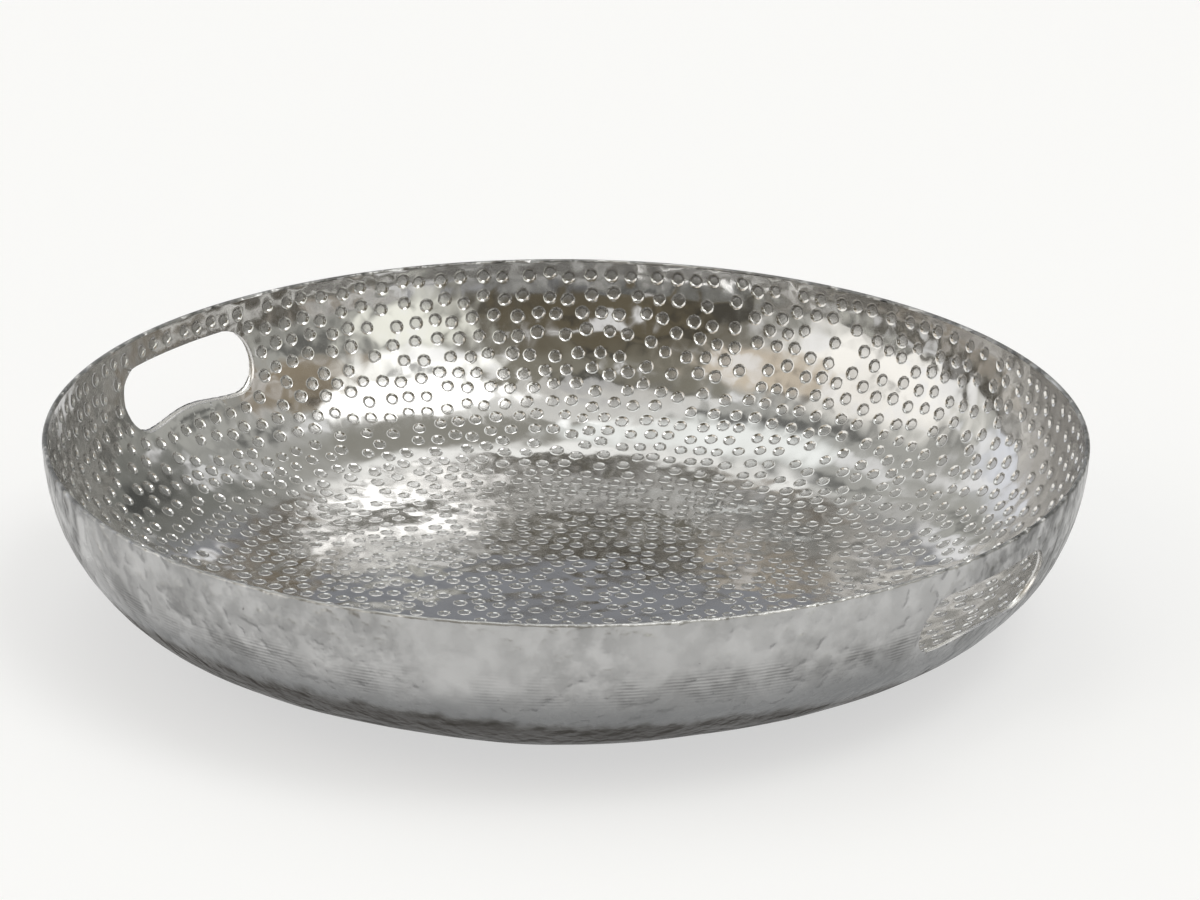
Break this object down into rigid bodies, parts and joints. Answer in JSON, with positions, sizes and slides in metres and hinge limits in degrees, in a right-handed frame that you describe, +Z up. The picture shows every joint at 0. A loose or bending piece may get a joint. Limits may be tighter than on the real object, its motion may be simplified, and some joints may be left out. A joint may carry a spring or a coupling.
{
  "type": "fruit bowl",
  "caption": "Shallow round hammered aluminium fruit bowl with a flat base, a curved wall, hand holes cut below the rim on opposite sides, and small anti-slip pads underneath.",
  "frame": {"origin": "on the table, under the middle of the bowl", "axes": "+Z up along the bowl's round axis, +X and -X through the two hand holes"},
  "size_m": [0.38, 0.38, 0.07],
  "materials": {
    "sheet_metal": "hammered and polished inside, satin outside",
    "silicone": "milky satin silicone"
  },
  "bodies": {
    "root": {"bowl": "sheet_metal", "foot_pad_1": "silicone", "foot_pad_2": "silicone", "foot_pad_3": "silicone", "foot_pad_4": "silicone"}
  },
  "joints": []
}
